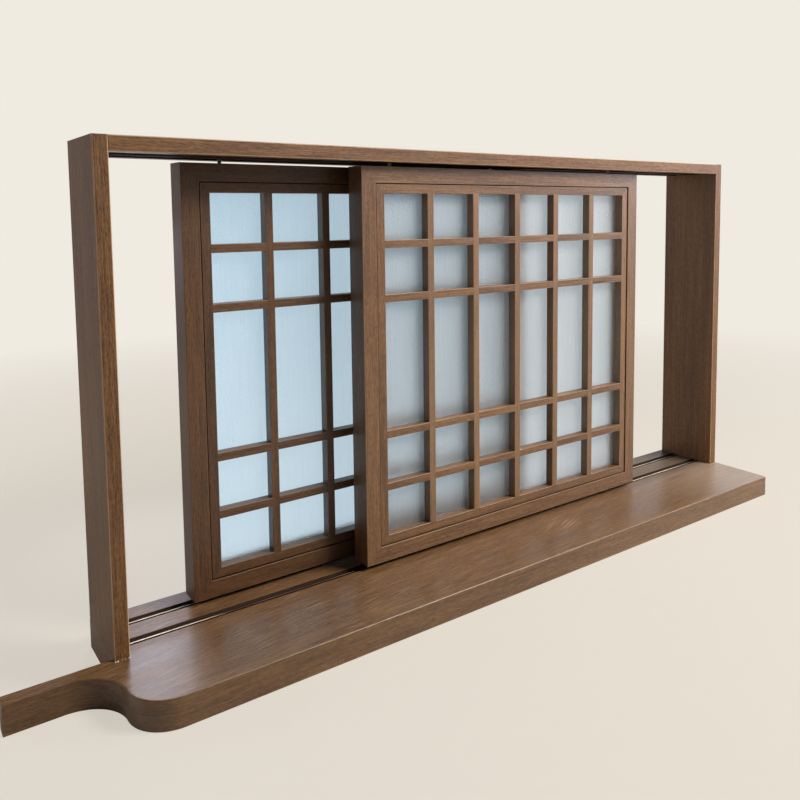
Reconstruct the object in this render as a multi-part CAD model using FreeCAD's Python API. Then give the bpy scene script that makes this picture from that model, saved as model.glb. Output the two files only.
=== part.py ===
import FreeCAD, Part
import os

# Two sliding lattice sashes in a wooden frame, standing on a deep sill board.
# Origin: on the sill board's underside, midway between the jambs, in the plane of the jambs' front faces.
# +X runs along the window, +Y goes from its front to its back, +Z is up. All sizes are in millimetres.

# Frame boards
jamb_thickness = 21.0
head_thickness = 22.5
frame_depth = 144.5
sill_thickness = 43.0
sill_projection = 135.0
arris_radius = 2.0

# Curved left end of the sill board, and the narrow ledge beyond it
hollow_radius = 64.0
round_radius = 58.0
curve_overhang = 4.5
ledge_length = 140.0
ledge_set_back = 9.5

# Sash members
sash_thickness = 44.0
frame_face = 28.0
lip_width = 12.0
shadow_width = 2.0
shadow_depth = 5.0
bead_face = 15.5
bead_set_back = 2.0
mitre_reach = 55.0

# Lattice and glass
bar_width = 13.5
pane_width = 90.0
column_count = 6
pane_heights = (80.0, 80.0, 225.0, 80.0, 80.0)
glass_set_back = 20.0
glass_thickness = 5.0
glass_edge_gap = 1.5

# Where the sashes run
front_margin = 19.0
sash_gap = 16.0
sash_overlap = 35.0
bottom_clearance = 8.0
top_clearance = 6.5
front_sash_start = 399.5
rear_sash_start = 119.5

# Running gear
groove_width = 19.0
groove_depth = 8.0
track_base_width = 12.0
track_base_thickness = 1.5
track_bead_width = 3.0
track_drop = 1.5
guide_width = 28.0
guide_depth = 12.0
pin_radius = 3.0
pin_seat = 15.0
pin_rise = 13.5
gear_inset = 70.0
housing_length = 44.0
housing_width = 14.0
housing_height = 20.0
housing_side = 1.75
housing_top = 1.5
wheel_width = 9.0
wheel_root_radius = 13.0
flange_rise = 1.2
tread_clearance = 0.2
axle_radius = 2.5

# Sizes that follow from the values above
member_width = frame_face + shadow_width + bead_face
sash_width = 2 * member_width + column_count * pane_width + (column_count - 1) * bar_width
sash_height = 2 * member_width + sum(pane_heights) + (len(pane_heights) - 1) * bar_width
opening_width = 2 * sash_width - sash_overlap
opening_height = bottom_clearance + sash_height + top_clearance
left_inside = -opening_width / 2
right_inside = opening_width / 2
left_outside = left_inside - jamb_thickness
right_outside = right_inside + jamb_thickness
head_underside = sill_thickness + opening_height
frame_top = head_underside + head_thickness
sash_bottom = sill_thickness + bottom_clearance
front_sash_face = front_margin
rear_sash_face = front_margin + sash_thickness + sash_gap
front_track_line = front_sash_face + sash_thickness / 2
rear_track_line = rear_sash_face + sash_thickness / 2

# Shares and slack that the shapes below are worked out with
diagonal_share = 0.5 ** 0.5
full_turn = 360.0
plane_slack = 0.01


def vec(x, y, z):
    return FreeCAD.Vector(x, y, z)


def block(x0, x1, y0, y1, z0, z1):
    return Part.makeBox(x1 - x0, y1 - y0, z1 - z0, vec(x0, y0, z0))


def save(name, shape):
    shape.exportStep(os.path.join("parts", name + ".step"))


# Sill board: one outline with two tangent quarter circles, its front arris eased all round
def sill_board():
    side = left_outside - curve_overhang
    ledge_front = hollow_radius + round_radius - sill_projection
    ledge_end = left_outside - ledge_length
    middle = ledge_front - hollow_radius
    hollow_bend = hollow_radius * (1 - diagonal_share)
    round_bend = round_radius * (1 - diagonal_share)
    ledge_corner = vec(ledge_end, ledge_front, 0)
    curve_start = vec(side - hollow_radius, ledge_front, 0)
    hollow_point = vec(side - hollow_bend, ledge_front - hollow_bend, 0)
    curve_middle = vec(side, middle, 0)
    round_point = vec(side + round_bend, round_bend - sill_projection, 0)
    curve_end = vec(side + round_radius, -sill_projection, 0)
    front_corner = vec(right_outside, -sill_projection, 0)
    rear_right = vec(right_outside, frame_depth, 0)
    rear_left = vec(left_outside, frame_depth, 0)
    notch = vec(left_outside, ledge_set_back, 0)
    ledge_back = vec(ledge_end, ledge_set_back, 0)
    front_edges = [
        Part.makeLine(ledge_corner, curve_start),
        Part.Arc(curve_start, hollow_point, curve_middle).toShape(),
        Part.Arc(curve_middle, round_point, curve_end).toShape(),
        Part.makeLine(curve_end, front_corner),
    ]
    other_edges = [
        Part.makeLine(front_corner, rear_right),
        Part.makeLine(rear_right, rear_left),
        Part.makeLine(rear_left, notch),
        Part.makeLine(notch, ledge_back),
        Part.makeLine(ledge_back, ledge_corner),
    ]
    board = Part.Face(Part.Wire(front_edges + other_edges)).extrude(vec(0, 0, sill_thickness))
    eased = []
    for edge in board.Edges:
        box = edge.BoundBox
        on_top = box.ZMin > sill_thickness - plane_slack
        on_front = box.YMax < ledge_front + plane_slack
        if on_top and on_front:
            eased.append(edge)
    board = board.makeFillet(arris_radius, eased)
    for line in (front_track_line, rear_track_line):
        near = line - groove_width / 2
        far = line + groove_width / 2
        floor = sill_thickness - groove_depth
        board = board.cut(block(left_inside, right_inside, near, far, floor, sill_thickness))
    return board


# Head board: plain board between the jambs with two guide grooves in its underside
def head_board():
    board = block(left_inside, right_inside, 0, frame_depth, head_underside, frame_top)
    for line in (front_track_line, rear_track_line):
        near = line - guide_width / 2
        far = line + guide_width / 2
        top = head_underside + guide_depth
        board = board.cut(block(left_inside, right_inside, near, far, head_underside, top))
    return board


# Track: flat strip on the groove's floor with a round-topped bead for the wheels
def track(line):
    floor = sill_thickness - groove_depth
    shoulder = floor + track_base_thickness
    bead_top = sill_thickness - track_drop
    half_base = track_base_width / 2
    half_bead = track_bead_width / 2
    springing = bead_top - half_bead
    at = left_inside
    left_edge = vec(at, line - half_bead, springing)
    crown = vec(at, line, bead_top)
    right_edge = vec(at, line + half_bead, springing)
    corners = [
        right_edge,
        vec(at, line + half_bead, shoulder),
        vec(at, line + half_base, shoulder),
        vec(at, line + half_base, floor),
        vec(at, line - half_base, floor),
        vec(at, line - half_base, shoulder),
        vec(at, line - half_bead, shoulder),
        left_edge,
    ]
    edges = [Part.makeLine(a, b) for a, b in zip(corners, corners[1:])]
    edges.append(Part.Arc(left_edge, crown, right_edge).toShape())
    return Part.Face(Part.Wire(edges)).extrude(vec(opening_width, 0, 0))


# Picture-frame ring between an outer and an inner rectangle, both measured in from the sash's edge
def ring(outer, inner, front, back):
    whole = block(outer, sash_width - outer, front, back, outer, sash_height - outer)
    return whole.cut(block(inner, sash_width - inner, front, back, inner, sash_height - inner))


# Ring cut at its mitres into left, right, bottom and top members
def mitred(shape):
    w = sash_width
    h = sash_height
    m = mitre_reach
    outlines = {
        "left": ((0, 0), (m, m), (m, h - m), (0, h)),
        "right": ((w, 0), (w, h), (w - m, h - m), (w - m, m)),
        "bottom": ((0, 0), (w, 0), (w - m, m), (m, m)),
        "top": ((0, h), (m, h - m), (w - m, h - m), (w, h)),
    }
    members = {}
    for side, outline in outlines.items():
        wedge = Part.Face(Part.makePolygon([vec(x, 0, z) for x, z in outline + outline[:1]]))
        members[side] = shape.common(wedge.extrude(vec(0, sash_thickness, 0))).removeSplitter()
    return members


# Sash members: outer part at full thickness, with a back lip that carries the glass
def sash_members():
    outer_part = ring(0, frame_face, 0, sash_thickness)
    glass_back = glass_set_back + glass_thickness
    lip = ring(frame_face, frame_face + lip_width, glass_back, sash_thickness)
    members = mitred(outer_part.fuse(lip).removeSplitter())
    mid = sash_thickness / 2
    for at in (gear_inset, sash_width - gear_inset):
        seat_foot = vec(at, mid, sash_height - pin_seat)
        members["top"] = members["top"].cut(Part.makeCylinder(pin_radius, pin_seat, seat_foot))
        pocket = block(at - housing_length / 2, at + housing_length / 2,
                       mid - housing_width / 2, mid + housing_width / 2, 0, housing_height)
        members["bottom"] = members["bottom"].cut(pocket)
    return members


# Beads: inner mitred frame, stepped on its outer edge so that a dark shadow line shows
def bead_members():
    body = ring(frame_face, member_width, bead_set_back, glass_set_back)
    step = ring(frame_face, frame_face + shadow_width, bead_set_back, bead_set_back + shadow_depth)
    return mitred(body.cut(step))


# Lattice: upright and level bars fused where they cross, flush with the beads
def lattice():
    bars = []
    front = bead_set_back
    back = glass_set_back
    x = member_width
    for _ in range(column_count - 1):
        x += pane_width
        bars.append(block(x, x + bar_width, front, back, member_width, sash_height - member_width))
        x += bar_width
    z = member_width
    for height in pane_heights[:-1]:
        z += height
        bars.append(block(member_width, sash_width - member_width, front, back, z, z + bar_width))
        z += bar_width
    return bars[0].multiFuse(bars[1:]).removeSplitter()


# Glass: one frosted sheet between the beads and the back lips
def glass():
    edge = frame_face + glass_edge_gap
    glass_back = glass_set_back + glass_thickness
    return block(edge, sash_width - edge, glass_set_back, glass_back, edge, sash_height - edge)


# Roller: housing let into the bottom rail, with a grooved wheel turning on its axle
def roller(at):
    mid = sash_thickness / 2
    centre_height = wheel_root_radius - bottom_clearance - track_drop
    housing = block(at - housing_length / 2, at + housing_length / 2,
                    mid - housing_width / 2, mid + housing_width / 2, 0, housing_height)
    slot_sides = (mid - housing_width / 2 + housing_side, mid + housing_width / 2 - housing_side)
    slot = block(at - housing_length / 2 + housing_side, at + housing_length / 2 - housing_side,
                 slot_sides[0], slot_sides[1], 0, housing_height - housing_top)
    half = wheel_width / 2
    root = track_bead_width / 2 + tread_clearance
    flange = wheel_root_radius + flange_rise
    section = (
        (-half, 0),
        (-half, flange),
        (-root, flange),
        (-root, wheel_root_radius),
        (root, wheel_root_radius),
        (root, flange),
        (half, flange),
        (half, 0),
        (-half, 0),
    )
    outline = Part.makePolygon([vec(at, mid + across, centre_height + radius) for across, radius in section])
    wheel = Part.Face(outline).revolve(vec(at, mid, centre_height), vec(0, 1, 0), full_turn)
    axle_start = vec(at, mid - housing_width / 2, centre_height)
    axle = Part.makeCylinder(axle_radius, housing_width, axle_start, vec(0, 1, 0))
    return housing.cut(slot).multiFuse([axle, wheel])


# Guide pin: plain nylon dowel that stands up from the top rail into the head board's groove
def guide_pin(at):
    foot = vec(at, sash_thickness / 2, sash_height - pin_seat)
    return Part.makeCylinder(pin_radius, pin_seat + pin_rise, foot)


# One whole sash, moved to its place
def save_sash(prefix, start, face):
    place = vec(left_inside + start, face, sash_bottom)
    members = sash_members()
    beads = bead_members()
    pieces = {
        "left_stile": members["left"],
        "right_stile": members["right"],
        "top_rail": members["top"],
        "bottom_rail": members["bottom"],
        "left_bead": beads["left"],
        "right_bead": beads["right"],
        "top_bead": beads["top"],
        "bottom_bead": beads["bottom"],
        "lattice": lattice(),
        "glass": glass(),
        "left_roller": roller(gear_inset),
        "right_roller": roller(sash_width - gear_inset),
        "left_pin": guide_pin(gear_inset),
        "right_pin": guide_pin(sash_width - gear_inset),
    }
    for name, shape in pieces.items():
        shape.translate(place)
        save(prefix + "_" + name, shape)


os.makedirs("parts", exist_ok=True)
save("sill_board", sill_board())
save("left_jamb", block(left_outside, left_inside, 0, frame_depth, sill_thickness, frame_top))
save("right_jamb", block(right_inside, right_outside, 0, frame_depth, sill_thickness, frame_top))
save("head_board", head_board())
save("front_track", track(front_track_line))
save("rear_track", track(rear_track_line))
save_sash("front", front_sash_start, front_sash_face)
save_sash("rear", rear_sash_start, rear_sash_face)
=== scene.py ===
import math
import random

import bmesh
import bpy
from mathutils import Matrix, Vector


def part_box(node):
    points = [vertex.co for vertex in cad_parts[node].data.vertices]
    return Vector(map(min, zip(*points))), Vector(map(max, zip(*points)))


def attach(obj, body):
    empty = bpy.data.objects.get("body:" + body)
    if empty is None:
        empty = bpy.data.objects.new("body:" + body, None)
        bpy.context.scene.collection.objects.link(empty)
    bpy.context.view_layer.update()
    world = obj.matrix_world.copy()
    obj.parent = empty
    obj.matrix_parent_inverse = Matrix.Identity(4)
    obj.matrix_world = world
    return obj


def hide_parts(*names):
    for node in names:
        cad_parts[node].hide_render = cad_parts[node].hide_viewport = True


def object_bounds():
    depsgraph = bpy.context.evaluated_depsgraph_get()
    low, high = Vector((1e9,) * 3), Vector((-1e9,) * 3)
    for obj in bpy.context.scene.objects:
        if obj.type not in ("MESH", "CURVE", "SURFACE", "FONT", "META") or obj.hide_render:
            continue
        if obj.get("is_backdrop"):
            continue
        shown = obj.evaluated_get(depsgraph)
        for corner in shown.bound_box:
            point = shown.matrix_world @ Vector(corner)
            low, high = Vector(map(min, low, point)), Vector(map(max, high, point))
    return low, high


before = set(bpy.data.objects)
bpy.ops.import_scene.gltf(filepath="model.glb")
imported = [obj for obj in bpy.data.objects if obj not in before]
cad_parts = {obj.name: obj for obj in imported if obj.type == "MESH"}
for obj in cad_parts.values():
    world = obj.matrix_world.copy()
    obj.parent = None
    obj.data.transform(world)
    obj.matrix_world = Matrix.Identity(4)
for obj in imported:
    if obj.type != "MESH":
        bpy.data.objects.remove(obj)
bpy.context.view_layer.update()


# Sill board. A thick board faced with walnut-stained oak veneer, its edge lipped with the same veneer, which
# is bent round a hollow and then a round quarter circle at the left end. The jambs and the two tracks stand on
# it. Its upper front arris is eased by hand and painted paler, as wear and a painted highlight. Its top shows
# scuffs and lacquer worn thin by use, with a painted sheen toward the right end, and the lipping is painted
# darker toward the left end, a painted shade.
sill_low, sill_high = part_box("sill_board")
jamb_inner_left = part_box("left_jamb")[1].x
jamb_inner_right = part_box("right_jamb")[0].x
left_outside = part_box("left_jamb")[0].x
sill_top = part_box("left_jamb")[0].z
hollow_radius = 0.064
round_radius = 0.058
curve_overhang = 0.0045
ledge_set_back = 0.0095
sill_arris = 0.002
sill_lower_arris = 0.001
arris_steps = 4
curve_steps = 28
groove_width = 0.019
groove_depth = 0.008
groove_painted_shade = 2.2
pale_arris_step = 3
sharp_angle = math.radians(40)
log_places = {"lipping": (3.1, 0.21), "top": (1.7, 0.16, 0.05)}
track_lines = [sum(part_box(name + "_track")[i].y for i in (0, 1)) / 2 for name in ("front", "rear")]
random.seed(11)


def linear(code):
    """Linear colour of an sRGB hex code."""
    parts = [int(code[i:i + 2], 16) / 255 for i in (1, 3, 5)]
    return [p / 12.92 if p <= 0.04045 else ((p + 0.055) / 1.055) ** 2.4 for p in parts] + [1.0]


def add(tree, kind, inputs=None, **settings):
    """Adds one node with its settings, and sets or links its inputs."""
    node = tree.nodes.new("ShaderNode" + kind)
    for name, value in settings.items():
        setattr(node, name, value)
    for name, value in (inputs or {}).items():
        if isinstance(value, bpy.types.NodeSocket):
            tree.links.new(value, node.inputs[name])
        else:
            node.inputs[name].default_value = value
    return node


# Walnut-stained oak under satin lacquer. The stain fills the pores with dark brown, so the eye sees short
# dark dashes and slow streaks along the grain, under the soft sheen of a thin film. The arrises are painted
# paler, as wear and a painted highlight. Real pores are 0.3 mm wide and fibres finer still, so both are drawn
# about four times coarser to show.
def stained_oak(name, pale, deep, pore, wear_and_painted_light, arris_paling=0.6, roughness=0.48, coat=0.0, scuffs=0.0):
    """Oak that reads two layers of the mesh: grain, which holds each point's place in the log, and edge, which
    holds how much paler the point is painted (wear, painted highlight and painted sheen), how dark it is
    painted (dark joints and painted shade) and how pale its board is."""
    material = bpy.data.materials.new(name)
    material.use_nodes = True
    tree = material.node_tree
    tree.nodes.clear()
    ring_gap = 0.0045
    saw_tooth_unit = 0.314
    wander_reach = 0.022
    cut = add(tree, "Attribute", attribute_name="grain").outputs["Vector"]
    edge = add(tree, "Attribute", attribute_name="edge").outputs["Vector"]
    edge = add(tree, "SeparateXYZ", {0: edge}).outputs

    def along_grain(length, width, detail):
        stretched = add(tree, "VectorMath", {0: cut, 1: (1 / length, 1 / width, 1 / width)},
                        operation="MULTIPLY")
        return add(tree, "TexNoise", {"Vector": stretched.outputs[0], "Scale": 1.0, "Detail": detail})

    wander = add(tree, "VectorMath", {0: along_grain(0.40, 0.05, 1.0).outputs["Color"], 1: (0.5, 0.5, 0.5)},
                 operation="SUBTRACT")
    wander = add(tree, "VectorMath", {0: wander.outputs[0], 1: (0.0, wander_reach, wander_reach), 2: cut},
                 operation="MULTIPLY_ADD")
    rings = add(tree, "TexWave", {"Vector": wander.outputs[0], "Scale": saw_tooth_unit / ring_gap},
                wave_type="RINGS", rings_direction="X", wave_profile="SAW").outputs["Fac"]
    streaks = along_grain(0.30, 0.007, 3.0).outputs["Fac"]
    patches = along_grain(0.45, 0.045, 1.0).outputs["Fac"]
    fibres = along_grain(0.070, 0.0018, 1.0).outputs["Fac"]
    flecks = along_grain(0.0055, 0.0017, 1.0).outputs["Fac"]
    pores = along_grain(0.013, 0.0013, 0.0).outputs["Fac"]
    pores = add(tree, "MapRange", {0: pores, 1: 0.54, 2: 0.70, 3: 0.0, 4: 1.0}).outputs[0]

    tone = add(tree, "Math", {0: rings, 1: 0.20, 2: -1.35}, operation="MULTIPLY_ADD").outputs[0]
    for part, share in ((streaks, 0.70), (patches, 0.60), (fibres, 1.20), (flecks, 1.10), (edge[2], 0.12)):
        tone = add(tree, "Math", {0: part, 1: share, 2: tone}, operation="MULTIPLY_ADD").outputs[0]
    colour = add(tree, "Mix", {0: tone, 6: linear(deep), 7: linear(pale)}, data_type="RGBA").outputs[2]
    pore_share = add(tree, "Math", {0: pores, 1: 0.34}, operation="MULTIPLY").outputs[0]
    colour = add(tree, "Mix", {0: pore_share, 6: colour, 7: linear(pore)}, data_type="RGBA").outputs[2]
    shine = add(tree, "Math", {0: fibres, 1: 0.14, 2: roughness - 0.07}, operation="MULTIPLY_ADD").outputs[0]
    dull = add(tree, "Math", {0: edge[1], 1: 0.45}, operation="MULTIPLY").outputs[0]
    shine = add(tree, "Math", {0: shine, 1: dull}, operation="MAXIMUM").outputs[0]
    film = coat
    if scuffs:
        # Things set down on the sill board have scuffed its top at a slant, and scraped one patch deeper.
        scrape_middle = (0.128, -0.042, sill_top)
        scrape_half_length, scrape_half_width = 0.065, 0.026
        strokes = []
        for slant, length, width, start, full, share in (
                (-13, 0.06, 0.0016, 0.60, 0.76, scuffs), (-21, 0.10, 0.0028, 0.57, 0.64, 0.80)):
            turned = add(tree, "VectorRotate", {"Vector": cut, "Angle": math.radians(slant)},
                         rotation_type="Z_AXIS").outputs[0]
            drawn = add(tree, "VectorMath", {0: turned, 1: (1 / length, 1 / width, 1.0)},
                        operation="MULTIPLY").outputs[0]
            noise = add(tree, "TexNoise", {"Vector": drawn, "Scale": 1.0, "Detail": 0.0}).outputs["Fac"]
            strokes.append(add(tree, "MapRange", {0: noise, 1: start, 2: full, 3: 0.0, 4: share}).outputs[0])
        place = add(tree, "TexCoord").outputs["Object"]
        near = add(tree, "VectorMath", {0: place, 1: scrape_middle}, operation="SUBTRACT").outputs[0]
        near = add(tree, "VectorMath", {0: near, 1: (1 / scrape_half_length, 1 / scrape_half_width, 0.0)},
                   operation="MULTIPLY").outputs[0]
        near = add(tree, "VectorMath", {0: near}, operation="LENGTH").outputs["Value"]
        near = add(tree, "MapRange", {0: near, 1: 0.4, 2: 1.0, 3: 1.0, 4: 0.0}).outputs[0]
        scrapes = add(tree, "Math", {0: strokes[1], 1: near}, operation="MULTIPLY").outputs[0]
        upward = add(tree, "SeparateXYZ", {0: add(tree, "NewGeometry").outputs["Normal"]}).outputs["Z"]
        upward = add(tree, "Math", {0: upward, 1: 0.9}, operation="GREATER_THAN").outputs[0]
        lines = add(tree, "Math", {0: strokes[0], 1: scrapes}, operation="MAXIMUM").outputs[0]
        lines = add(tree, "Math", {0: lines, 1: upward}, operation="MULTIPLY").outputs[0]
        colour = add(tree, "Mix", {0: lines, 6: colour, 7: linear(wear_and_painted_light)}, data_type="RGBA").outputs[2]

        # Painted sheen and shade: the top is painted paler toward the right end in front of the tracks, a
        # painted sheen, and grey round the tracks, a painted shade.
        sheen_start, sheen_full = 0.34, 0.66
        frame_front, tracks_front = 0.0, 0.03
        place = add(tree, "SeparateXYZ", {0: place}).outputs
        painted_sheen = add(tree, "MapRange", {0: place["X"], 1: sheen_start, 2: sheen_full, 3: 0.0, 4: 0.90},
                   interpolation_type="SMOOTHSTEP").outputs[0]
        broken_by_grain = add(tree, "MapRange", {0: fibres, 1: 0.35, 2: 0.65, 3: 0.60, 4: 1.0}).outputs[0]
        for part in (upward, broken_by_grain):
            painted_sheen = add(tree, "Math", {0: painted_sheen, 1: part}, operation="MULTIPLY").outputs[0]
        before_tracks = add(tree, "MapRange", {0: place["Y"], 1: frame_front, 2: tracks_front, 3: 1.0, 4: 0.0})
        before_tracks = before_tracks.outputs[0]
        sheen_and_shade_tint = add(tree, "Mix", {0: before_tracks, 6: linear("#6f665c"), 7: linear("#b09c8a")},
                   data_type="RGBA").outputs[2]
        colour = add(tree, "Mix", {0: painted_sheen, 6: colour, 7: sheen_and_shade_tint}, data_type="RGBA").outputs[2]

        # The lacquer has worn thin round the tracks and on the ledge, and its gloss is patchy.
        thinnest, ledge_near = 0.3, 0.05
        past_ledge = add(tree, "MapRange", {
            0: place["X"], 1: left_outside - ledge_near, 2: left_outside, 3: 0.0, 4: 1.0}).outputs[0]
        film = add(tree, "Math", {0: before_tracks, 1: past_ledge}, operation="MULTIPLY").outputs[0]
        film = add(tree, "MapRange", {0: film, 1: 0.0, 2: 1.0, 3: thinnest * coat, 4: coat}).outputs[0]
        shine = add(tree, "Math", {0: patches, 1: 0.30, 2: shine}, operation="MULTIPLY_ADD").outputs[0]
        shine = add(tree, "Math", {0: shine, 1: 0.15}, operation="SUBTRACT").outputs[0]
    # Arrises and some boards are painted paler: wear, a painted highlight and a painted sheen.
    pale_mark = add(tree, "Math", {0: edge[0], 1: arris_paling}, operation="MULTIPLY").outputs[0]
    colour = add(tree, "Mix", {0: pale_mark, 6: colour, 7: linear(wear_and_painted_light)}, data_type="RGBA").outputs[2]
    # Dark joints, and painted shade in the grooves and at the sill's left end.
    joint_and_shade = add(tree, "Math", {0: edge[1], 1: 0.40}, operation="MULTIPLY").outputs[0]
    colour = add(tree, "Mix", {0: joint_and_shade, 6: colour, 7: linear(pore)}, data_type="RGBA").outputs[2]
    height = add(tree, "Math", {0: pores, 1: -0.8, 2: fibres}, operation="MULTIPLY_ADD").outputs[0]
    bump = add(tree, "Bump", {"Height": height, "Strength": 0.35, "Distance": 0.0005}).outputs[0]
    wood = add(tree, "BsdfPrincipled", {
        "Base Color": colour, "Roughness": shine, "Normal": bump, "IOR": 1.5, "Specular IOR Level": 0.50,
        "Coat Weight": film, "Coat Roughness": 0.30, "Coat IOR": 1.5})
    add(tree, "OutputMaterial", {"Surface": wood.outputs[0]})
    return material


def even_shaded(name, shape, material, slot, *nodes):
    """Turns the worked shape into a piece whose flat faces shade flat. With a slot, it replaces its nodes."""
    mesh = bpy.data.meshes.new(name)
    shape.to_mesh(mesh)
    shape.free()
    mesh.polygons.foreach_set("use_smooth", [True] * len(mesh.polygons))
    mesh.set_sharp_from_angle(angle=sharp_angle)
    mesh.materials.append(material)
    piece = bpy.data.objects.new(name, mesh)
    bpy.context.scene.collection.objects.link(piece)
    piece.modifiers.new("flat faces", "WEIGHTED_NORMAL").keep_sharp = True
    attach(piece, "root")
    if slot:
        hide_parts(*nodes)
    return piece


def left_end_painted_shade(x):
    """Painted shade: the edge lipping is painted darker toward the left end, round the curves and on the
    ledge.
    """
    shade_start = left_outside + 0.12
    shade_run = 0.20
    return min(1.0, max(0.0, (shade_start - x) / shade_run))


def sill_outline():
    """Points round the board seen from above, with the inward direction that the arris takes at each."""
    side = left_outside - curve_overhang
    ledge_front = sill_low.y + hollow_radius + round_radius
    hollow_centre = Vector((side - hollow_radius, ledge_front - hollow_radius))
    round_centre = Vector((side + round_radius, sill_low.y + round_radius))
    points = [(Vector((sill_low.x, ledge_front)), Vector((0, 1)))]
    for step in range(curve_steps + 1):
        turn = math.pi / 2 * (1 - step / curve_steps)
        out = Vector((math.cos(turn), math.sin(turn)))
        points.append((hollow_centre + hollow_radius * out, out))
    for step in range(1, curve_steps + 1):
        turn = math.pi + math.pi / 2 * step / curve_steps
        out = Vector((math.cos(turn), math.sin(turn)))
        points.append((round_centre + round_radius * out, -out))
    points.append((Vector((sill_high.x, sill_low.y)), Vector((0, 1))))
    for x, y in ((sill_high.x, sill_high.y), (left_outside, sill_high.y), (left_outside, ledge_set_back),
                 (sill_low.x, ledge_set_back)):
        points.append((Vector((x, y)), Vector((0, 0))))
    return points


sill = bmesh.new()
sill_grain = sill.loops.layers.float_vector.new("grain")
sill_edge = sill.loops.layers.float_vector.new("edge")
outline = sill_outline()
run = [0.0]
for (before, _), (after, _) in zip(outline, outline[1:] + outline[:1]):
    run.append(run[-1] + (after - before).length)
levels = []
for step in range(arris_steps + 1):
    turn = math.pi / 2 * step / arris_steps
    levels.append((sill_lower_arris * (1 - math.cos(turn)), sill_lower_arris * (1 - math.sin(turn)), 0.0))
for step in range(arris_steps + 1):
    turn = math.pi / 2 * step / arris_steps
    mark = 1.0 if step == pale_arris_step else 0.0
    levels.append((sill_top - sill_arris * (1 - math.sin(turn)), sill_arris * (1 - math.cos(turn)), mark))
rows = []
for height, inset, _ in levels:
    rows.append([sill.verts.new((*(point + inset * inward), height)) for point, inward in outline])
for (low_row, high_row), (low_mark, high_mark) in zip(zip(rows, rows[1:]), zip(levels, levels[1:])):
    for i in range(len(outline)):
        j = (i + 1) % len(outline)
        face = sill.faces.new((low_row[i], low_row[j], high_row[j], high_row[i]))
        for loop, at, mark in zip(face.loops, (run[i], run[i + 1], run[i + 1], run[i]),
                                  (low_mark, low_mark, high_mark, high_mark)):
            loop[sill_grain] = (at + log_places["lipping"][0], log_places["lipping"][1], loop.vert.co.z)
            # The lipping carries a pale arris, as wear and a painted highlight, and painted shade toward the
            # left end.
            pale_arris_here = curve_steps + 1 < i <= 2 * curve_steps + 1
            loop[sill_edge] = (mark[2] if pale_arris_here else 0.0, left_end_painted_shade(loop.vert.co.x), -0.1)
flat_faces = [sill.faces.new(list(reversed(rows[0])))]
groove_faces = []
rims = [sill.edges.get((a, b)) for a, b in zip(rows[-1], rows[-1][1:] + rows[-1][:1])]
for line in track_lines:
    sides = (line - groove_width / 2, line + groove_width / 2)
    plan = [(jamb_inner_left, sides[0]), (jamb_inner_right, sides[0]), (jamb_inner_right, sides[1]),
            (jamb_inner_left, sides[1])]
    upper = [sill.verts.new((x, y, sill_top)) for x, y in plan]
    lower = [sill.verts.new((x, y, sill_top - groove_depth)) for x, y in plan]
    rims += [sill.edges.new((a, b)) for a, b in zip(upper, upper[1:] + upper[:1])]
    groove_faces.append(sill.faces.new(lower))
    for i in range(4):
        groove_faces.append(sill.faces.new((upper[i], upper[i - 1], lower[i - 1], lower[i])))
filled = bmesh.ops.triangle_fill(sill, edges=rims, use_beauty=True, use_dissolve=False, normal=(0, 0, 1))
flat_faces += [part for part in filled["geom"] if isinstance(part, bmesh.types.BMFace)]
# The track grooves are painted dark, a painted shade.
for face in flat_faces + groove_faces:
    for loop in face.loops:
        loop[sill_grain] = loop.vert.co + Vector(log_places["top"])
        loop[sill_edge] = (0.0, groove_painted_shade if face in groove_faces else 0.0, 0.1)
bmesh.ops.recalc_face_normals(sill, faces=sill.faces)
sill_oak = stained_oak("walnut_stained_oak_sill", "#8f6a42", "#573a20", "#2b1c10", "#c0a27c",
                       arris_paling=0.42, roughness=0.48, coat=0.7, scuffs=0.34)
even_shaded("sill_board_lipped", sill, sill_oak, "sill_wood", "sill_board")


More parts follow.
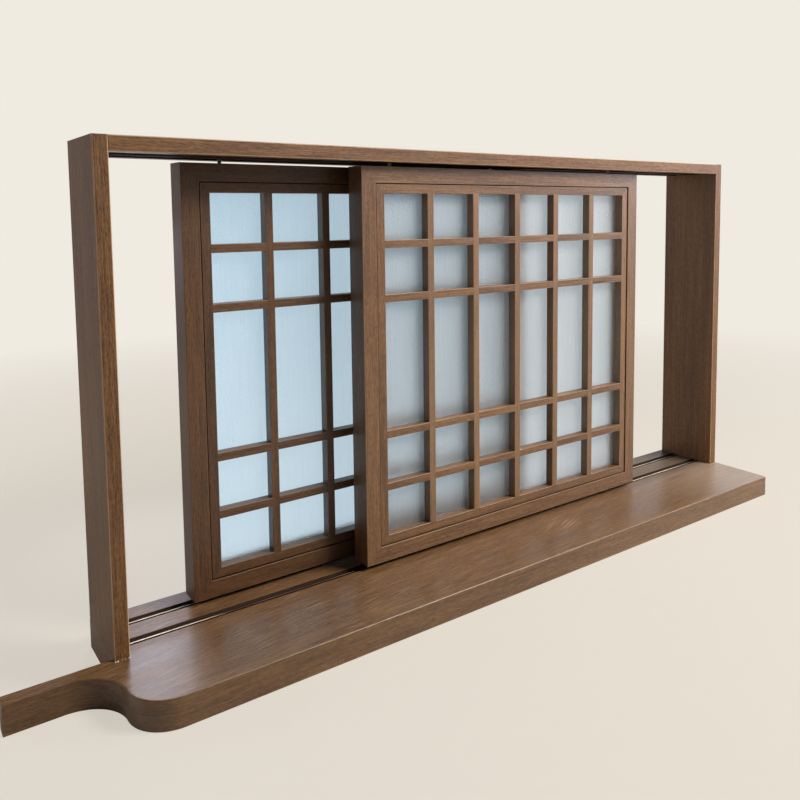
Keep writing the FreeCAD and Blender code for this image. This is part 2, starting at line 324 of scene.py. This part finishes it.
# Tracks. Two extruded strips of bronze-anodised aluminium with a round bead, pressed into the sill board's
# grooves. Anodising gives a warm brown metal. The bead's upward-facing crown is painted pale, as bare metal
# worn by the rollers and a painted highlight, toward both ends, and the stretch between keeps its brown.
def bronze_anodised(name, colour, pale_mark, roughness):
    material = bpy.data.materials.new(name)
    material.use_nodes = True
    tree = material.node_tree
    tree.nodes.clear()
    place = add(tree, "TexCoord").outputs["Object"]
    # The die leaves lines finer than 0.1 mm along the strip, drawn at 0.8 mm to show.
    drawn = add(tree, "VectorMath", {0: place, 1: (1 / 0.25, 1 / 0.0008, 1 / 0.0008)}, operation="MULTIPLY")
    drawn = add(tree, "TexNoise", {"Vector": drawn.outputs[0], "Scale": 1.0, "Detail": 2.0}).outputs["Fac"]
    crown_height = sill_top - 0.004
    brown_middle = -0.38
    brown_half, brown_end = 0.14, 0.20
    wear_and_painted_light = add(tree, "TexNoise", {"Vector": place, "Scale": 1 / 0.06, "Detail": 3.0}).outputs["Fac"]
    wear_and_painted_light = add(tree, "MapRange", {0: wear_and_painted_light, 1: 0.3, 2: 0.6, 3: 0.5, 4: 1.0}).outputs[0]
    crown = add(tree, "SeparateXYZ", {0: add(tree, "NewGeometry").outputs["Normal"]}).outputs["Z"]
    crown = add(tree, "MapRange", {0: crown, 1: 0.35, 2: 0.75, 3: 0.0, 4: 1.0}).outputs[0]
    height = add(tree, "SeparateXYZ", {0: place}).outputs["Z"]
    height = add(tree, "Math", {0: height, 1: crown_height}, operation="GREATER_THAN").outputs[0]
    # Painted highlight: the crown is paler toward both ends and stays brown between.
    pale_toward_ends = add(tree, "SeparateXYZ", {0: place}).outputs["X"]
    pale_toward_ends = add(tree, "Math", {0: pale_toward_ends, 1: brown_middle}, operation="SUBTRACT").outputs[0]
    pale_toward_ends = add(tree, "Math", {0: pale_toward_ends}, operation="ABSOLUTE").outputs[0]
    pale_toward_ends = add(tree, "MapRange", {0: pale_toward_ends, 1: brown_half, 2: brown_end, 3: 0.06, 4: 1.0}).outputs[0]
    for part in (crown, height, pale_toward_ends):
        wear_and_painted_light = add(tree, "Math", {0: wear_and_painted_light, 1: part}, operation="MULTIPLY").outputs[0]
    tint = add(tree, "Mix", {0: wear_and_painted_light, 6: linear(colour), 7: linear(pale_mark)}, data_type="RGBA").outputs[2]
    shine = add(tree, "Math", {0: drawn, 1: 0.20, 2: roughness - 0.10}, operation="MULTIPLY_ADD").outputs[0]
    bump = add(tree, "Bump", {"Height": drawn, "Strength": 0.2, "Distance": 0.0001}).outputs[0]
    metal = add(tree, "BsdfPrincipled",
                {"Base Color": tint, "Metallic": 1.0, "Roughness": shine, "Normal": bump})
    add(tree, "OutputMaterial", {"Surface": metal.outputs[0]})
    return material


track_bronze = bronze_anodised("bronze_anodised_aluminium", "#2c1c13", "#eee2cc", 0.42)
for name in ("front_track", "rear_track"):
    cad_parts[name].data.materials.clear()
    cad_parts[name].data.materials.append(track_bronze)


# Jambs. Two boards of the same stained oak, planed to 21 mm, that stand on the sill board from front to back.
# Their long arrises are eased with fine paper, and a thin paler line is painted down each, as wear and a
# painted highlight.
frame_arris = 0.0016
seam_width = 0.0005
log_length = 9
pith_distance = (0.09, 0.30)
log_height = 0.1


def eased(corners):
    """Outline of a section with each corner rounded to its own radius. Each point also says how much paler its
    arris is painted, as wear and a painted highlight.

    A corner with a negative radius stays sharp and holds that much painted shade."""
    points = []
    for i, (depth, across, radius) in enumerate(corners):
        here = Vector((depth, across))
        if radius <= 0:
            points.append((depth, across, radius))
            continue
        back = (Vector(corners[i - 1][:2]) - here).normalized()
        on = (Vector(corners[(i + 1) % len(corners)][:2]) - here).normalized()
        for step in range(arris_steps + 1):
            turn = math.pi / 2 * step / arris_steps
            point = here + radius * (back + on - on * math.cos(turn) - back * math.sin(turn))
            points.append((point.x, point.y, 1.0 if 0 < step < arris_steps else 0.0))
    return points


def new_shape():
    """Empty shape whose points carry the layers that the stained oak reads."""
    shape = bmesh.new()
    shape.verts.layers.float_vector.new("grain")
    shape.verts.layers.float_vector.new("edge")
    return shape


def board(shape, section, length, mitre, origin, along, across, pale_mark=0.0):
    """Adds a board: its section runs along its length, and its ends are mitred or square, with a dark seam at
    each. The last argument says how much paler the board is painted all over, a painted sheen."""
    grain = shape.verts.layers.float_vector["grain"]
    edge = shape.verts.layers.float_vector["edge"]
    log = Vector((random.uniform(0, log_length), random.choice((-1, 1)) * random.uniform(*pith_distance),
                  random.uniform(-log_height, log_height)))
    tone = random.uniform(-1, 1)
    turned = Matrix((along, (0, 1, 0), across)).transposed()
    rows = []
    for far, inset in ((0, 0), (0, seam_width), (1, seam_width), (1, 0)):
        row = []
        for depth, width, wear_and_painted_light in section:
            step_in = width * mitre + inset
            local = Vector((length - step_in if far else step_in, depth, width))
            vertex = shape.verts.new(Vector(origin) + turned @ local)
            vertex[grain] = local + log
            vertex[edge] = (max(wear_and_painted_light, pale_mark), max(-wear_and_painted_light, 0.0 if inset else 1.0), tone)
            row.append(vertex)
        rows.append(row)
    faces = [shape.faces.new(rows[0]), shape.faces.new(rows[-1])]
    for near, next_row in zip(rows, rows[1:]):
        for i in range(len(section)):
            faces.append(shape.faces.new((near[i - 1], near[i], next_row[i], next_row[i - 1])))
    bmesh.ops.recalc_face_normals(shape, faces=faces)


frame_oak = stained_oak("walnut_stained_oak_frame", "#956c41", "#563822", "#26170c", "#d4b48c",
                        arris_paling=0.8)
for name, way in (("left_jamb", 1), ("right_jamb", -1)):
    low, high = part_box(name)
    thick, deep = high.x - low.x, high.y - low.y
    section = eased([(0, 0, frame_arris), (deep, 0, frame_arris),
                     (deep, thick, frame_arris), (0, thick, frame_arris)])
    shape = new_shape()
    start = (low.x if way > 0 else high.x, low.y, low.z)
    board(shape, section, high.z - low.z, 0, start, (0, 0, 1), (way, 0, 0))
    even_shaded(name + "_board", shape, frame_oak, "frame_wood", name)


# White filler. The fitter closed the joint at the left jamb's foot with acrylic filler, and a few crumbs of it
# stayed on the sill board. It dries matt and chalky, so the crumbs show as small white specks.
def chalky_filler():
    material = bpy.data.materials.new("dried_acrylic_filler")
    material.use_nodes = True
    tree = material.node_tree
    tree.nodes.clear()
    place = add(tree, "TexCoord").outputs["Object"]
    chalk = add(tree, "TexNoise", {"Vector": place, "Scale": 1 / 0.0006, "Detail": 2.0}).outputs["Fac"]
    tint = add(tree, "Mix", {0: chalk, 6: linear("#d9d3c6"), 7: linear("#fbf8f1")},
               data_type="RGBA").outputs[2]
    bump = add(tree, "Bump", {"Height": chalk, "Strength": 0.5, "Distance": 0.0002}).outputs[0]
    matt = add(tree, "BsdfPrincipled", {"Base Color": tint, "Roughness": 0.85, "Normal": bump})
    add(tree, "OutputMaterial", {"Surface": matt.outputs[0]})
    return material


crumb_places_and_sizes = ((0.0009, 0.0012), (0.0040, 0.0013), (0.0103, 0.0006), (0.0142, 0.0007),
                          (0.0188, 0.0010), (0.0204, 0.0012))
crumb_lengths = (0.9, 1.3)
crumb_heights = (0.5, 0.8)
crumb_before_jamb = -0.6
crumb_above_board = 0.3
crumb_lumpiness = 0.18
crumbs = bmesh.new()
for along, size in crumb_places_and_sizes:
    turned = Matrix.Rotation(random.uniform(0, math.pi), 4, "Z")
    squashed = Matrix.Diagonal((size * random.uniform(*crumb_lengths), size,
                                size * random.uniform(*crumb_heights), 1))
    middle = Vector((left_outside + along, crumb_before_jamb * size, sill_top + crumb_above_board * size))
    lump = bmesh.ops.create_icosphere(crumbs, subdivisions=2, radius=1.0,
                                      matrix=Matrix.Translation(middle) @ turned @ squashed)
    for vertex in lump["verts"]:
        vertex.co += crumb_lumpiness * size * Vector([random.uniform(-1, 1) for _ in range(3)])
even_shaded("filler_crumbs", crumbs, chalky_filler(), None)


# Head board. A board of the jambs' oak that fits between them, with two grooves ploughed in its underside, in
# which the sashes' guide pins slide. The grooves are painted nearly black, a painted shade.
guide_width = 0.028
guide_depth = 0.012
low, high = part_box("head_board")
deep, thick = high.y - low.y, high.z - low.z
section = [(0, 0, frame_arris)]
for line in track_lines:
    near, far = line - guide_width / 2 - low.y, line + guide_width / 2 - low.y
    section += [(near, 0, -groove_painted_shade), (near, guide_depth, -groove_painted_shade),
                (far, guide_depth, -groove_painted_shade), (far, 0, -groove_painted_shade)]
section += [(deep, 0, frame_arris), (deep, thick, frame_arris), (0, thick, frame_arris)]
shape = new_shape()
board(shape, eased(section), high.x - low.x, 0, (low.x, low.y, low.z), (1, 0, 0), (0, 0, 1))
even_shaded("head_board_grooved", shape, frame_oak, "frame_wood", "head_board")


# Sash stiles and rails. Each sash is a mitred frame of solid stained oak, 44 mm deep, with a lip at the back
# that the glass lies against. The grain turns at each mitre, where glue leaves a fine dark line. The front
# sash's right stile, right bead and upright bars are painted paler, a painted sheen. The rebate corner is
# painted dark, a painted shade, and the rear sash takes a darker copy of the oak, a painted shade.
sash_arris = 0.0014
face_inner_arris = 0.0006
rebate_painted_shade = 3 * groove_painted_shade
frame_face = 0.028
lip_width = 0.012
glass_front = 0.020
glass_back = 0.025
sash_oaks = {
    "front": stained_oak("walnut_stained_oak_front_sash", "#926b46", "#553921", "#28190f", "#c8a680",
                         coat=0.4),
    # The rear sash's copy of the oak is painted darker, a painted shade.
    "rear": stained_oak("walnut_stained_oak_rear_sash_painted_shade", "#714d2a", "#3e2613", "#1b0f07", "#9c7a57",
                        coat=0.4),
}
# Painted sheen: these parts of the front sash are painted paler.
painted_sheen_share = {("front", "right"): 0.16, ("front", "bars"): 0.30}


def sash_corner(prefix):
    """Lower left front corner of a sash, and its width, height and depth."""
    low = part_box(prefix + "_left_stile")[0]
    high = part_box(prefix + "_right_stile")[1]
    return low, high.x - low.x, high.z - low.z, high.y - low.y


def ways_round(low, wide, tall):
    """The four members of a mitred frame: name, where each starts, along and across it, and its length."""
    return (
        ("left", low, (0, 0, 1), (1, 0, 0), tall),
        ("right", low + Vector((wide, 0, 0)), (0, 0, 1), (-1, 0, 0), tall),
        ("bottom", low, (1, 0, 0), (0, 0, 1), wide),
        ("top", low + Vector((0, 0, tall)), (1, 0, 0), (0, 0, -1), wide),
    )


for prefix in ("front", "rear"):
    low, wide, tall, deep = sash_corner(prefix)
    section = eased([(0, 0, sash_arris), (deep, 0, sash_arris), (deep, frame_face + lip_width, sash_arris),
                     (glass_back, frame_face + lip_width, 0), (glass_back, frame_face, -rebate_painted_shade),
                     (0, frame_face, face_inner_arris)])
    for side, start, along, across, length in ways_round(low, wide, tall):
        shape = new_shape()
        board(shape, section, length, 1, start, along, across, pale_mark=painted_sheen_share.get((prefix, side), 0.0))
        node = prefix + "_" + side + ("_stile" if side in ("left", "right") else "_rail")
        even_shaded(node + "_mitred", shape, sash_oaks[prefix], "sash_wood", node)


# Rollers and guide pins. Pressed steel housings with a grooved wheel, let into the bottom rails, and white
# nylon dowels in the top rails. The steel's zinc has a cool, speckled shine, and the nylon a soft white one.
# The specks are under 1 mm on the real parts, drawn at 3 to 4 mm.
def pressed_part(name, colour, metallic, roughness, grit):
    material = bpy.data.materials.new(name)
    material.use_nodes = True
    tree = material.node_tree
    tree.nodes.clear()
    place = add(tree, "TexCoord").outputs["Object"]
    specks = add(tree, "TexNoise", {"Vector": place, "Scale": 1 / grit, "Detail": 3.0}).outputs["Fac"]
    shade = add(tree, "MapRange", {0: specks, 1: 0.3, 2: 0.7, 3: 0.86, 4: 1.0}).outputs[0]
    tint = add(tree, "VectorMath", {0: linear(colour)[:3], 3: shade}, operation="SCALE").outputs[0]
    shine = add(tree, "Math", {0: specks, 1: 0.25, 2: roughness - 0.12}, operation="MULTIPLY_ADD").outputs[0]
    bump = add(tree, "Bump", {"Height": specks, "Strength": 0.15, "Distance": 0.0001}).outputs[0]
    surface = add(tree, "BsdfPrincipled",
                  {"Base Color": tint, "Metallic": metallic, "Roughness": shine, "Normal": bump})
    add(tree, "OutputMaterial", {"Surface": surface.outputs[0]})
    return material


zinc_steel = pressed_part("zinc_plated_steel", "#a9a9a6", 1.0, 0.38, 0.004)
nylon = pressed_part("moulded_white_nylon", "#fbfaf6", 0.0, 0.42, 0.003)
for prefix in ("front", "rear"):
    for side in ("left", "right"):
        for part, finish in (("_roller", zinc_steel), ("_pin", nylon)):
            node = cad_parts[prefix + "_" + side + part]
            node.data.materials.clear()
            node.data.materials.append(finish)


# Glass. One 5 mm sheet of acid-etched float glass in each sash, held between the back lip and the beads.
# Etching scatters the daylight, so a sheet looks pale blue, and what is behind it shows as soft shadows. The
# front sheet scatters some front light too, which greys it. The etched grit is under 0.1 mm, drawn at 3.2 mm.
def etched_glass(name, pale, deep, clearness):
    material = bpy.data.materials.new(name)
    material.use_nodes = True
    tree = material.node_tree
    tree.nodes.clear()
    place = add(tree, "TexCoord").outputs["Object"]
    grit_size = 0.0032
    draw_width, draw_length = 0.004, 0.09
    grit = add(tree, "TexNoise", {"Vector": place, "Scale": 1 / grit_size, "Detail": 1.0}).outputs["Fac"]
    draw = add(tree, "VectorMath", {0: place, 1: (1 / draw_width, 1 / draw_width, 1 / draw_length)},
               operation="MULTIPLY")
    draw = add(tree, "TexNoise", {"Vector": draw.outputs[0], "Scale": 1.0, "Detail": 2.0}).outputs["Fac"]
    draw = add(tree, "MapRange", {0: draw, 1: 0.3, 2: 0.7, 3: 0.0, 4: 1.0}).outputs[0]
    blur = add(tree, "Math", {0: draw, 1: 0.10, 2: 0.36}, operation="MULTIPLY_ADD").outputs[0]
    tint = add(tree, "Mix", {0: draw, 6: linear(deep), 7: linear(pale)}, data_type="RGBA").outputs[2]
    bump = add(tree, "Bump", {"Height": grit, "Strength": 0.8, "Distance": 0.0010}).outputs[0]
    sheet = add(tree, "BsdfPrincipled", {
        "Base Color": tint, "Roughness": blur, "Normal": bump, "IOR": 1.5, "Specular IOR Level": 0.25,
        "Transmission Weight": clearness})
    add(tree, "OutputMaterial", {"Surface": sheet.outputs[0]})
    return material


glass_finishes = {
    "front": etched_glass("acid_etched_float_glass_front", "#fcfdfd", "#f1f4f5", 0.88),
    "rear": etched_glass("acid_etched_float_glass_rear", "#f2fbff", "#e8f4fb", 0.96),
}
for prefix, finish in glass_finishes.items():
    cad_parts[prefix + "_glass"].data.materials.clear()
    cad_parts[prefix + "_glass"].data.materials.append(finish)


# Beads. Slim mitred strips of the sash's oak, pinned round the glass from the front, 2 mm behind the frame's
# face. A step on their outer edge leaves a narrow groove all round, painted dark as a painted shade.
bead_front = 0.002
shadow_width = 0.002
shadow_depth = 0.005
bead_inner = 0.0455
bead_arris = 0.0008
bead_outer_arris = 0.0005
bead_outer = frame_face + shadow_width
shadow_back = bead_front + shadow_depth
for prefix in ("front", "rear"):
    low, wide, tall, _ = sash_corner(prefix)
    section = eased([(bead_front, bead_outer, bead_outer_arris), (shadow_back, bead_outer, -groove_painted_shade),
                     (shadow_back, frame_face, -groove_painted_shade), (glass_front, frame_face, 0),
                     (glass_front, bead_inner, 0), (bead_front, bead_inner, bead_arris)])
    for side, start, along, across, length in ways_round(low, wide, tall):
        shape = new_shape()
        board(shape, section, length, 1, start, along, across, pale_mark=painted_sheen_share.get((prefix, side), 0.0))
        node = prefix + "_" + side + "_bead"
        even_shaded(node + "_mitred", shape, sash_oaks[prefix], "bead_wood", node)


# Lattice. Five upright and four level bars of the beads' stock, 13.5 mm wide and 18 mm deep, half-lapped so
# that they lie flush. The uprights run through at the front, and the level bars meet them in fine dark lines.
# The bars are glued to the beads and stand against the glass.
bar_width = 0.0135
pane_width = 0.090
pane_heights = (0.080, 0.080, 0.225, 0.080, 0.080)
bar_arris = 0.0008
section = eased([(bead_front, 0, bar_arris), (glass_front, 0, 0), (glass_front, bar_width, 0),
                 (bead_front, bar_width, bar_arris)])
for prefix in ("front", "rear"):
    low, _, tall, _ = sash_corner(prefix)
    shape = new_shape()
    upright_starts = [bead_inner + pane_width * (i + 1) + bar_width * i for i in range(5)]
    for x in upright_starts:
        board(shape, section, tall - 2 * bead_inner + 2 * bead_arris, 0,
              low + Vector((x, 0, bead_inner - bead_arris)), (0, 0, 1), (1, 0, 0),
              pale_mark=painted_sheen_share.get((prefix, "bars"), 0.0))
    z = bead_inner
    for height in pane_heights[:-1]:
        z += height
        for x in [bead_inner - bar_width] + upright_starts:
            board(shape, section, pane_width + 2 * bar_arris, 0,
                  low + Vector((x + bar_width - bar_arris, 0, z)), (1, 0, 0), (0, 0, 1))
        z += bar_width
    even_shaded(prefix + "_lattice_bars", shape, sash_oaks[prefix], "bead_wood", prefix + "_lattice")


# Floor. A pale paper sheet under the sill board, which catches the shadow and fades out into the background.
# To the camera it glows a little, so that it stays as pale as the background. Lacquer mirrors it brighter
# toward the right, and what shows of it through the glass is daylight.
daylight_left = "#cce0ea"
daylight_right = "#c0c6c9"
daylight_low = "#e2f0f8"
floor_radius = 9.0
floor_drop = 0.0005
fade_start, fade_end = 1.2, 3.2
seen_glow = 0.65
mirrored_glow_left, mirrored_glow_right = 0.10, 0.62
floor_mesh = bpy.data.meshes.new("floor")
floor_shape = bmesh.new()
bmesh.ops.create_circle(floor_shape, cap_ends=True, radius=floor_radius, segments=64)
floor_shape.to_mesh(floor_mesh)
floor_shape.free()
floor = bpy.data.objects.new("floor", floor_mesh)
floor.location = (0, 0, -floor_drop)
bpy.context.scene.collection.objects.link(floor)
paper = bpy.data.materials.new("matt_pale_paper")
paper.use_nodes = True
tree = paper.node_tree
tree.nodes.clear()
place = add(tree, "TexCoord").outputs["Object"]
clouds = add(tree, "TexNoise", {"Vector": place, "Scale": 1 / 0.03, "Detail": 4.0}).outputs["Fac"]
tint = add(tree, "Mix", {0: clouds, 6: linear("#c4beb3"), 7: linear("#cbc5ba")}, data_type="RGBA").outputs[2]
matt = add(tree, "BsdfPrincipled", {"Base Color": tint, "Roughness": 0.9, "Specular IOR Level": 0.1})
path = add(tree, "LightPath").outputs
seen = add(tree, "Math", {0: path["Is Camera Ray"], 1: seen_glow}, operation="MULTIPLY").outputs[0]
across = add(tree, "SeparateXYZ", {0: place}).outputs["X"]
mirrored = add(tree, "MapRange", {
    0: across, 1: -0.6, 2: 0.8, 3: mirrored_glow_left, 4: mirrored_glow_right}).outputs[0]
mirrored = add(tree, "Math", {0: path["Is Glossy Ray"], 1: mirrored}, operation="MULTIPLY").outputs[0]
seen = add(tree, "Math", {0: seen, 1: mirrored}, operation="MAXIMUM").outputs[0]
glow = add(tree, "Emission", {"Color": linear("#f5eee2"), "Strength": 1.0})
matt = add(tree, "MixShader", {0: seen, 1: matt.outputs[0], 2: glow.outputs[0]})
across = add(tree, "MapRange", {0: across, 1: -0.3, 2: 1.6, 3: 0.0, 4: 1.0}).outputs[0]
daylight = add(tree, "Mix", {0: across, 6: linear(daylight_low), 7: linear(daylight_right)},
               data_type="RGBA")
daylight = add(tree, "Emission", {"Color": daylight.outputs[2], "Strength": 1.0})
matt = add(tree, "MixShader", {0: path["Is Transmission Ray"], 1: matt.outputs[0], 2: daylight.outputs[0]})
far = add(tree, "VectorMath", {0: place}, operation="LENGTH").outputs["Value"]
far = add(tree, "MapRange", {0: far, 1: fade_start, 2: fade_end, 3: 0.0, 4: 1.0}).outputs[0]
clear = add(tree, "BsdfTransparent")
mixed = add(tree, "MixShader", {0: far, 1: matt.outputs[0], 2: clear.outputs[0]})
add(tree, "OutputMaterial", {"Surface": mixed.outputs[0]})
floor_mesh.materials.append(paper)
floor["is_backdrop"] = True


# Light. The main soft lamp stands high in front on the right. A low lamp fills from the right, and a small
# high one lights the sill board's right end. Weak daylight comes from behind on the left, and a narrow lamp
# behind the left opening puts a line of light on the tracks.
def soft_lamp(name, place, aim, size, power, colour, mirrored=True):
    lamp = bpy.data.lights.new(name, "AREA")
    lamp.shape = "RECTANGLE"
    lamp.size, lamp.size_y = size
    lamp.energy = power
    lamp.color = linear(colour)[:3]
    holder = bpy.data.objects.new(name, lamp)
    holder.location = place
    holder.visible_camera = False
    holder.visible_transmission = False
    holder.visible_glossy = mirrored
    holder.rotation_euler = (Vector(aim) - Vector(place)).to_track_quat("-Z", "Y").to_euler()
    bpy.context.scene.collection.objects.link(holder)


soft_lamp("lamp_front", (1.65, -1.95, 2.65), (0, 0, 0.4), (1.2, 1.2), 130, "#fff7f0")
soft_lamp("lamp_low", (3.2, -1.6, 1.1), (0.2, 0, 0.4), (1.4, 0.8), 24, "#f2f2ff")
soft_lamp("lamp_high", (1.2, -0.7, 1.9), (0.5, -0.05, 0.1), (1.0, 0.8), 5, "#fff4ec")
soft_lamp("lamp_left", (-2.2, 1.3, 0.7), (0.6, 0.05, 0.4), (1.0, 0.8), 14, "#eef0fa", mirrored=False)
soft_lamp("lamp_behind", (-0.50, 0.55, 0.42), (-0.66, -0.03, 0.05), (0.14, 0.5), 1.05, "#e2e8fa")


# Surround. The camera sees a pale background, and the glass lets through daylight. Lacquer mirrors a bright
# side on the right and another behind on the left, and everything else gets a weak warm fill.
fill_strength = 0.07
mirrored_low, mirrored_right, mirrored_left = 0.08, 0.92, 1.2
left_way = (-0.82, 0.57, 0.0)
world = bpy.data.worlds.new("pale_surround")
bpy.context.scene.world = world
world.use_nodes = True
tree = world.node_tree
tree.nodes.clear()
path = add(tree, "LightPath").outputs
direction = add(tree, "TexCoord").outputs["Generated"]
across = add(tree, "SeparateXYZ", {0: direction}).outputs["X"]
right = add(tree, "MapRange", {0: across, 1: 0.35, 2: 0.75, 3: mirrored_low, 4: mirrored_right}).outputs[0]
left = add(tree, "VectorMath", {0: direction, 1: left_way}, operation="DOT_PRODUCT").outputs["Value"]
left = add(tree, "MapRange", {0: left, 1: 0.80, 2: 0.95, 3: mirrored_low, 4: mirrored_left}).outputs[0]
mirrored = add(tree, "Math", {0: right, 1: left}, operation="MAXIMUM").outputs[0]
mirrored = add(tree, "Background", {"Color": linear("#eef1f8"), "Strength": mirrored})
fill = add(tree, "Background", {"Color": linear("#f2eee8"), "Strength": fill_strength})
backdrop = add(tree, "Background", {"Color": linear("#f0ebe1"), "Strength": 1.0})
across = add(tree, "MapRange", {0: across, 1: 0.45, 2: 0.72, 3: 0.0, 4: 1.0}).outputs[0]
daylight = add(tree, "Mix", {0: across, 6: linear(daylight_left), 7: linear(daylight_right)},
               data_type="RGBA")
daylight = add(tree, "Background", {"Color": daylight.outputs[2], "Strength": 1.0})
mixed = add(tree, "MixShader", {0: path["Is Camera Ray"], 1: fill.outputs[0], 2: backdrop.outputs[0]})
mixed = add(tree, "MixShader", {0: path["Is Glossy Ray"], 1: mixed.outputs[0], 2: mirrored.outputs[0]})
mixed = add(tree, "MixShader", {0: path["Is Transmission Ray"], 1: mixed.outputs[0], 2: daylight.outputs[0]})
add(tree, "OutputWorld", {"Surface": mixed.outputs[0]})


# Camera. It stands left of the middle at eye height, and looks down a little and to the right. Its lens is
# shifted, which sets the window in the middle of the picture.
camera = bpy.data.cameras.new("camera")
camera.sensor_width = 36
camera.lens = 35.325
camera.shift_x = -0.06299
camera.shift_y = -0.15342
camera_holder = bpy.data.objects.new("camera", camera)
camera_holder.location = (-0.95598, -1.11418, 0.66638)
camera_holder.rotation_euler = [math.radians(turn) for turn in (85.1064, 0.383, -37.1628)]
bpy.context.scene.collection.objects.link(camera_holder)
bpy.context.scene.camera = camera_holder
bpy.context.scene.view_settings.view_transform = "Standard"

low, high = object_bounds()
